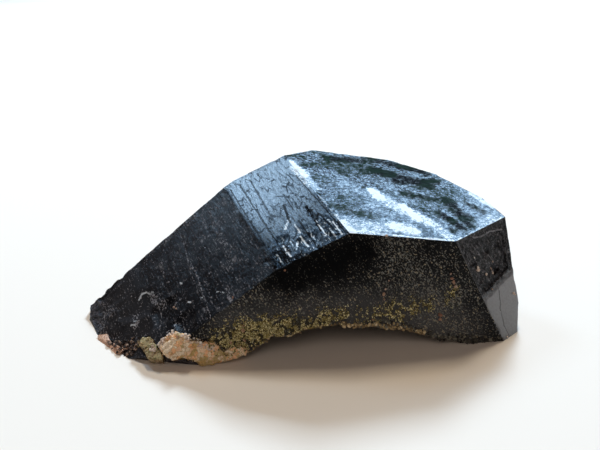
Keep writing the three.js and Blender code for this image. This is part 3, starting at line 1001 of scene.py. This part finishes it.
PINK = feldspar_look("pink_feldspar", (1.0, 0.82, 0.62), (1.0, 0.56, 0.29), (0.5, 0.36, 0.13))
RIM = feldspar_look("rim_feldspar", (1.0, 0.70, 0.54), (0.80, 0.44, 0.30), (0.5, 0.28, 0.18))
OLIVE = feldspar_look("olive_crust", (0.50, 0.43, 0.24), (0.22, 0.19, 0.085), (0.42, 0.29, 0.17))


# Small blocks in the crumbly surface lie askew to the crystal.
ASKEW = face_axes(0.35, 62)


def blocks(points, size, seed):
    """Random heights from 0 to 1 of small blocks that lie askew."""
    cells = np.floor(points @ ASKEW.T / size + 0.2 * noise(points, 1.5, seed + 1)[:, None])
    return (1 + scatter(cells, seed)) / 2


def make_scrap(node, name, material, grown, rough, moved_by=(0, 0, 0)):
    """A scrap of feldspar, grown or moved to close on the crystal, with a crumbly surface."""
    made = fine_copy(node, name, SCRAP_DEPTHS[node])
    places, normals = corners_of(made.data)
    ground = from_ground(places)
    crumbs = lumps(ground, (0.6, 1.9, 81)) + lumps(ground * [1, 1, 0.5], (0.3, 0.7, 85))
    crumbs += 0.4 * blocks(ground, 1.5, 87) + 0.2 * blocks(ground, 0.8, 88)
    moved = places + normals * ((grown + 0.12 * layered(ground, 3, 83) - rough * crumbs) * MM)[:, None]
    set_corners(made.data, inside_box(moved + np.array(moved_by) * MM))
    made.data.materials.append(material)
    shade(made.data, 25)
    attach(made, "root")
    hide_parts(node)
    return made


scraps = [
    make_scrap("feldspar_patch", "feldspar_patch_skin", PINK, 0.7, 1.0),
    make_scrap("feldspar_rim", "feldspar_rim_skin", RIM, 0.15, 0.2, (0.4, 0.35, 0)),
    make_scrap("olive_knob", "olive_knob_skin", OLIVE, 0.4, 0.8),
]


def outer_skin(pieces):
    """A search tree of the pieces' surfaces."""
    corners, faces = [], []
    for piece in pieces:
        first = len(corners)
        corners.extend(tuple(v.co) for v in piece.data.vertices)
        faces.extend([first + i for i in face.vertices] for face in piece.data.polygons)
    return BVHTree.FromPolygons(corners, faces)


SKIN = outer_skin([crystal, *scraps])

# Grains fall on the crystal from this far out of a face, and at most this deep.
DROP_START = 1
DROP_LENGTH = 3


def drop_on(name, across, along, sizes):
    """Where grains over a face meet the crystal, its normals there, and the sizes of those that meet it."""
    axes, reach = SURFACES[name]
    found = []
    for x, y, size in zip(across, along, sizes):
        start = (np.array([x, y, reach + DROP_START]) @ axes - MIDDLE) * MM
        place, normal, face, distance = SKIN.ray_cast(Vector(start), Vector(-axes[2]), DROP_LENGTH * MM)
        if place is not None:
            found.append((tuple(place), tuple(normal), size))
    places, normals, sizes = zip(*found)
    return np.array(places), np.array(normals), np.array(sizes)


def bar_shape():
    """The corners and faces of a small crystal: a six-sided bar with a blunt point at both ends."""
    turns = np.arange(6) * math.pi / 3
    ring = np.column_stack([np.cos(turns), np.sin(turns)])
    low = np.column_stack([ring, np.full(6, -0.4)])
    high = np.column_stack([ring, np.full(6, 0.4)])
    corners = np.vstack([low, high, [[0, 0, -1], [0, 0, 1]]])
    sides = [(i, (i + 1) % 6) for i in range(6)]
    faces = [(i, j, j + 6) for i, j in sides] + [(i, j + 6, i + 6) for i, j in sides]
    faces += [(j, i, 12) for i, j in sides] + [(i + 6, j + 6, 13) for i, j in sides]
    return corners, np.array(faces)


def point_shape():
    """The corners and faces of the smallest crystals: four sides that run to a point at both ends."""
    corners = np.array([[1, 0, 0], [0, 1, 0], [-1, 0, 0], [0, -1, 0], [0, 0, 1], [0, 0, -1]], dtype=float)
    around = [(0, 1), (1, 2), (2, 3), (3, 0)]
    return corners, np.array([(i, j, 4) for i, j in around] + [(j, i, 5) for i, j in around])


BAR = bar_shape()
POINT = point_shape()


def random_turns(random, count):
    """Random rotation matrices."""
    quaternions = random.normal(size=(count, 4))
    w, x, y, z = (quaternions / np.linalg.norm(quaternions, axis=1)[:, None]).T
    rows = [
        [1 - 2 * (y * y + z * z), 2 * (x * y - z * w), 2 * (x * z + y * w)],
        [2 * (x * y + z * w), 1 - 2 * (x * x + z * z), 2 * (y * z - x * w)],
        [2 * (x * z - y * w), 2 * (y * z + x * w), 1 - 2 * (x * x + y * y)],
    ]
    return np.array(rows).transpose(2, 0, 1)


def make_grains(name, places, normals, sizes, material, slot, seed, shape=BAR):
    """Small crystals at places on the stone, in one mesh. Sizes are their half lengths in millimetres."""
    random = np.random.default_rng(seed)
    count = len(places)
    shape_corners, shape_faces = shape
    scale = sizes[:, None] * random.uniform([0.5, 0.5, 0.8], [0.9, 0.9, 1.2], (count, 3)) * MM
    jitter = 1 + 0.25 * random.uniform(-1, 1, (count, len(shape_corners), 1))
    shapes = shape_corners[None] * jitter * scale[:, None]
    turned = np.einsum("nij,nkj->nki", random_turns(random, count), shapes)
    corners = turned + (places + normals * (sizes * 0.25 * MM)[:, None])[:, None]
    corners = inside_box(corners.reshape(-1, 3))
    faces = (shape_faces[None] + len(shape_corners) * np.arange(count)[:, None, None]).reshape(-1, 3)
    mesh = bpy.data.meshes.new(name)
    mesh.from_pydata(corners.tolist(), [], faces.tolist())
    mesh.materials.append(material)
    return new_piece(name, mesh)


def grain_look(name, colours, roughness=0.5):
    """Small crystals whose colours change from grain to grain."""
    nodes = Nodes(name)
    place = nodes.place()
    each = nodes.value("ShaderNodeNewGeometry", output="Random Per Island")
    broad = nodes.noise(place, 2.4)
    fine = nodes.noise(place, 0.3)
    low, middle, high = colours
    pale = each.ramp(0.6, 0.85) * broad.ramp(0.3, 0.5)
    colour = nodes.coats(low, (each.ramp(0.05, 0.6), middle), (pale, high))
    return nodes.finish(colour, roughness, 0.1 * fine, 0.35, PLAIN_IOR)


# In the druse the darkest grains are painted shade between grains and the palest are painted highlights, over
# the grains' own olive.
DRUSE = grain_look("olive_druse", [(0.03, 0.022, 0.008), (0.34, 0.27, 0.09), (1.0, 0.90, 0.52)])
OCHRE = grain_look("ochre_crust", [(0.12, 0.085, 0.045), (0.46, 0.34, 0.18), (0.78, 0.63, 0.40)], 0.65)
ROSE = grain_look("rose_grains", [(0.30, 0.15, 0.10), (0.48, 0.30, 0.21), (0.62, 0.46, 0.36)], 0.6)
CREAM = grain_look("cream_grains", [(0.50, 0.36, 0.28), (0.74, 0.60, 0.50), (0.88, 0.82, 0.74)], 0.6)
UMBER = grain_look("umber_crust", [(0.02, 0.018, 0.015), (0.09, 0.085, 0.07), (0.22, 0.21, 0.17)], 0.6)
BROWN = grain_look("brown_crumbs", [(0.015, 0.012, 0.010), (0.075, 0.052, 0.042), (0.34, 0.23, 0.17)], 0.55)


def scattered(bands, density, random):
    """Random places in bands on a face, as many to each square millimetre as density says."""
    across, along = [], []
    for band in bands:
        start, end = ends(band)
        width, full = band[4:]
        run = end - start
        length = np.linalg.norm(run)
        count = int(density * full * (length + width) * 2 * width)
        part = random.uniform(-width / length / 2, 1 + width / length / 2, count)
        side = random.normal(0, 0.5, count).clip(-1.3, 1.3) * width
        square = np.array([-run[1], run[0]]) / length
        points = start + part[:, None] * run + side[:, None] * square
        across.extend(points[:, 0])
        along.extend(points[:, 1])
    return across, along


# The druse has this many grains to each square millimetre, of these half lengths, in clumps of this size.
DRUSE_DENSITY = 75.0
DRUSE_SIZES = (0.08, 0.28)
DRUSE_CLUMP = 0.8


def make_druse():
    """The olive druse on the front face. Grains that fall between its clumps are left out."""
    random = np.random.default_rng(11)
    across, along = scattered(DRUSE_BANDS, DRUSE_DENSITY, random)
    sizes = random.uniform(*DRUSE_SIZES, len(across))
    places, normals, sizes = drop_on("front", across, along, sizes)
    kept = layered(from_ground(places), DRUSE_CLUMP, 13) > 0
    make_grains("olive_druse", places[kept], normals[kept], sizes[kept], DRUSE, "olive_crust", 12, POINT)


# The front face ends where the stone is this deep under it. Its lower edge lies under this height.
FRONT_EDGE_DEPTH = 0.45
FRONT_EDGE_TOP = 9


def front_edge():
    """Where the front face ends at the bottom, across and along it, from the left to the right."""
    axes, reach = SURFACES["front"]
    ground = from_ground([tuple(v.co) for v in crystal.data.vertices])
    number = surface_of(ground)
    flat = (number == NAMES.index("front")) & (ground @ axes[2] - reach > -FRONT_EDGE_DEPTH)
    beyond = ~flat & np.isin(number, [NAMES.index(name) for name in ("front", "front_foot", "inner")])
    edge = set()
    for face in crystal.data.polygons:
        corners = np.array(face.vertices)
        if flat[corners].any() and beyond[corners].any():
            edge.update(corners[flat[corners]])
    rows = ground[sorted(edge)]
    rows = rows[rows[:, 2] < FRONT_EDGE_TOP]
    rows = rows[rows[:, 0].argsort()]
    return rows @ axes[:2].T, rows[:, 0]


# Crust along the front face's lower edge: from one place along X to another, how many grains to each corner
# of the edge, their half lengths, how far they reach below the edge and up the face, and the seed.
CRUSTS = [
    ("tan_line", OCHRE, -27, -8, 1.8, (0.1, 0.22), (0.1, 0.3), 24),
    ("thin_ochre_crust", OCHRE, -8, 12, 2.4, (0.12, 0.34), (0.3, 0.5), 22),
    ("ochre_crust", OCHRE, 10, 31, 3.6, (0.2, 0.55), (1.0, 0.7), 25),
    ("umber_crust", UMBER, 14, 50, 3.2, (0.18, 0.5), (0.7, 1.5), 23),
]
# The crust is this thick, and its clumps this large.
CRUST_THICKNESS = 0.5
CRUST_CLUMP = 1.6


def make_crusts():
    """The ochre and umber crust that lines the front face's lower edge."""
    spots, x = front_edge()
    axes, reach = SURFACES["front"]
    up = axes[:2, 2]
    for name, material, low, high, share, size, (below, above), seed in CRUSTS:
        random = np.random.default_rng(seed)
        inside = np.nonzero((x > low) & (x < high))[0]
        chosen = random.choice(inside, int(len(inside) * share))
        clump = 1 + layered(np.column_stack([x[chosen], chosen * 0, chosen * 0]), CRUST_CLUMP, seed)
        rise = random.triangular(-below, 0, above, len(chosen)) * clump
        flat = spots[chosen] + rise[:, None] * up + random.normal(0, 0.12, (len(chosen), 2))
        out = reach - CRUST_THICKNESS * random.uniform(0, 1, len(chosen)) * (rise < 0)
        places = (np.column_stack([flat, out - 0.1]) @ axes - MIDDLE) * MM
        normals = np.tile(axes[2], (len(chosen), 1))
        sizes = random.uniform(*size, len(chosen))
        make_grains(name, places, normals, sizes, material, "olive_crust", seed)


# Crumbs around the scraps: the look, the face, how many to each square millimetre, their half lengths, the
# seed and the bands that they lie in.
CRUMBS = [
    ("tip_crumbs", BROWN, "upper_front", 6.0, (0.15, 0.5), 41, [
        (-0.6, -41.2, 6.4, -37.2, 1.3, 1.0),
        (2.5, -37.4, 5, -35, 1.2, 0.7),
    ]),
    ("tip_specks", ROSE, "upper_front", 0.8, (0.15, 0.3), 45, [(0, -40.6, 6, -36, 1.6, 1.0)]),
    ("rim_crumbs", ROSE, "upper_front", 5.0, (0.12, 0.3), 46, [
        (-1.4, -41.8, -0.4, -41.3, 0.4, 1.0),
        (-0.4, -41.3, 5, -39.6, 0.4, 1.0),
    ]),
    ("knob_crumbs", OCHRE, "upper_front", 4.0, (0.15, 0.4), 42, [(5.6, -34.8, 9.5, -33.6, 0.9, 1.0)]),
    ("patch_crumbs", CREAM, "upper_front", 6.0, (0.18, 0.5), 43, [(10.8, -32, 9.9, -26.4, 0.8, 1.0)]),
    ("patch_edge_crumbs", CREAM, "front", 6.0, (0.15, 0.45), 44, [
        (-18.9, -23.8, -15.2, -22.2, 0.7, 1.0),
        (-15.2, -22.2, -12.3, -20.4, 0.6, 0.8),
    ]),
]


def make_crumbs():
    """Crumbs of feldspar and crust around the scraps."""
    for name, material, face, density, size, seed, bands in CRUMBS:
        random = np.random.default_rng(seed)
        across, along = scattered(bands, density, random)
        dropped = drop_on(face, across, along, random.uniform(*size, len(across)))
        make_grains(name, *dropped, material, "pink_feldspar", seed)


# Single grains of feldspar: the face, the place across and along it, and the half length.
ROSE_GRAINS = {
    "front": [
        (2.3, 18.6, 0.55), (1.6, 19.6, 0.35), (3.4, 18.0, 0.4), (9.6, 33.9, 0.5), (10.6, 33.8, 0.6),
        (11.8, 33.6, 0.5), (8.4, 34.4, 0.35), (15.2, 26.6, 0.6), (16.1, 26.0, 0.45), (-18.8, -9.9, 0.3),
        (-11.4, -12.6, 0.5), (-12.3, -11.8, 0.4), (-8.7, 27.2, 0.4), (-16.8, 3.5, 0.35),
        (-10.8, -16.6, 0.45), (5.8, 12.9, 0.35), (0.4, 21.5, 0.3), (-9.2, -13.8, 0.5),
    ],
    "point_front": [
        (10.5, 18.9, 0.6), (10.0, 19.3, 0.4), (13.3, 20.5, 0.45), (14.0, 23.2, 0.55), (14.9, 22.7, 0.6),
        (15.2, 23.6, 0.4), (7.6, 20.2, 0.28), (13.1, 24.9, 0.28), (23.4, 24.3, 0.4), (24.2, 24.6, 0.3),
        (28.4, 13.9, 0.3), (17.0, 18.9, 0.25),
    ],
    "upper_front": [(2.6, -23.5, 0.4), (3.6, -23.1, 0.3), (12.2, -25.4, 0.4)],
}


def make_rose_grains():
    """Single grains of feldspar, cream on the end and rose elsewhere."""
    for number, (face, grains) in enumerate(ROSE_GRAINS.items()):
        material = CREAM if face == "point_front" else ROSE
        dropped = drop_on(face, *zip(*grains))
        make_grains("rose_grains_" + face, *dropped, material, "pink_feldspar", 31 + number)


make_druse()
make_crusts()
make_crumbs()
make_rose_grains()

# The lights stand this many metres from the stone.
LIGHT_DISTANCE = 1.5
SKY_BLUE = (0.50, 0.74, 1.0)
PALE_SKY = (0.88, 0.87, 1.0)
DAYLIGHT = (0.62, 0.80, 1.0)
WARM_LIGHT = (1.0, 0.87, 0.68)
ROOM_LIGHT = (1.0, 0.87, 0.79)
WALL_LIGHT = (1.0, 0.97, 0.94)
# Strips of sky that the top face mirrors: their elevation.
SKY_STRIPS = (30, 35.5, 41)


def area_light(name, azimuth, elevation, width, height, radiance, colour, mirrored=True):
    """A soft light that faces the stone, its size in degrees as seen from there. Azimuth 0 is behind it."""
    turn, rise = math.radians(azimuth), math.radians(elevation)
    data = bpy.data.lights.new(name, "AREA")
    data.shape = "RECTANGLE"
    data.size = 2 * LIGHT_DISTANCE * math.tan(math.radians(width) / 2) * math.cos(rise)
    data.size_y = 2 * LIGHT_DISTANCE * math.tan(math.radians(height) / 2)
    data.energy = radiance * math.pi * data.size * data.size_y
    data.color = colour
    made = add_object(name, data)
    towards = Vector((math.sin(turn) * math.cos(rise), math.cos(turn) * math.cos(rise), math.sin(rise)))
    made.location = towards * LIGHT_DISTANCE
    made.rotation_euler = towards.to_track_quat("Z", "Y").to_euler()
    made.visible_glossy = mirrored


def make_lights():
    area_light("window", 14, 37, 12, 10, 144, DAYLIGHT, mirrored=False)
    area_light("window_top", 0, 63, 20, 12, 40, WARM_LIGHT, mirrored=False)
    area_light("front_fill", 185, 45, 60, 40, 0.85, ROOM_LIGHT, mirrored=False)
    area_light("sky_left", -42, 48, 20, 12, 13, SKY_BLUE)
    area_light("sky_far_left", -64, 36, 30, 22, 0.17, PALE_SKY)
    for number, elevation in enumerate(SKY_STRIPS):
        area_light(f"sky_back_{number}", 18, elevation, 40, 2.4, 11, SKY_BLUE)
    area_light("right", 83, 4.5, 16, 8, 1.7, WALL_LIGHT)


# The floor reaches this many metres to each side.
FLOOR_REACH = 3.0
FLOOR_COLOUR = (0.86, 0.78, 0.69)
WORLD_COLOUR = (1.0, 0.78, 0.66)
WORLD_STRENGTH = 0.05


def make_floor():
    mesh = bpy.data.meshes.new("floor")
    turns = [(-1, -1), (1, -1), (1, 1), (-1, 1)]
    mesh.from_pydata([(FLOOR_REACH * x, FLOOR_REACH * y, 0) for x, y in turns], [], [(0, 1, 2, 3)])
    mesh.materials.append(Nodes("floor").finish(FLOOR_COLOUR, 0.6, ior=PLAIN_IOR))
    add_object("floor", mesh)


def make_world():
    world = bpy.data.worlds.new("studio")
    world.use_nodes = True
    background = world.node_tree.nodes["Background"]
    background.inputs["Color"].default_value = (*WORLD_COLOUR, 1)
    background.inputs["Strength"].default_value = WORLD_STRENGTH
    bpy.context.scene.world = world


# The camera: its place, how many degrees it looks down, and its film's width and lens in millimetres.
CAMERA_PLACE = np.array([0.11, -168.16, 90.89]) * MM
CAMERA_LOOKS_DOWN = 22
FILM_WIDTH = 36
LENS = 42


def make_camera():
    data = bpy.data.cameras.new("camera")
    data.sensor_width = FILM_WIDTH
    data.lens = LENS
    data.clip_start = 5 * MM
    made = add_object("camera", data)
    made.location = CAMERA_PLACE
    made.rotation_euler = (math.radians(90 - CAMERA_LOOKS_DOWN), 0, 0)
    bpy.context.scene.camera = made


make_lights()
make_floor()
make_world()
make_camera()
bpy.context.scene.view_settings.view_transform = "Standard"
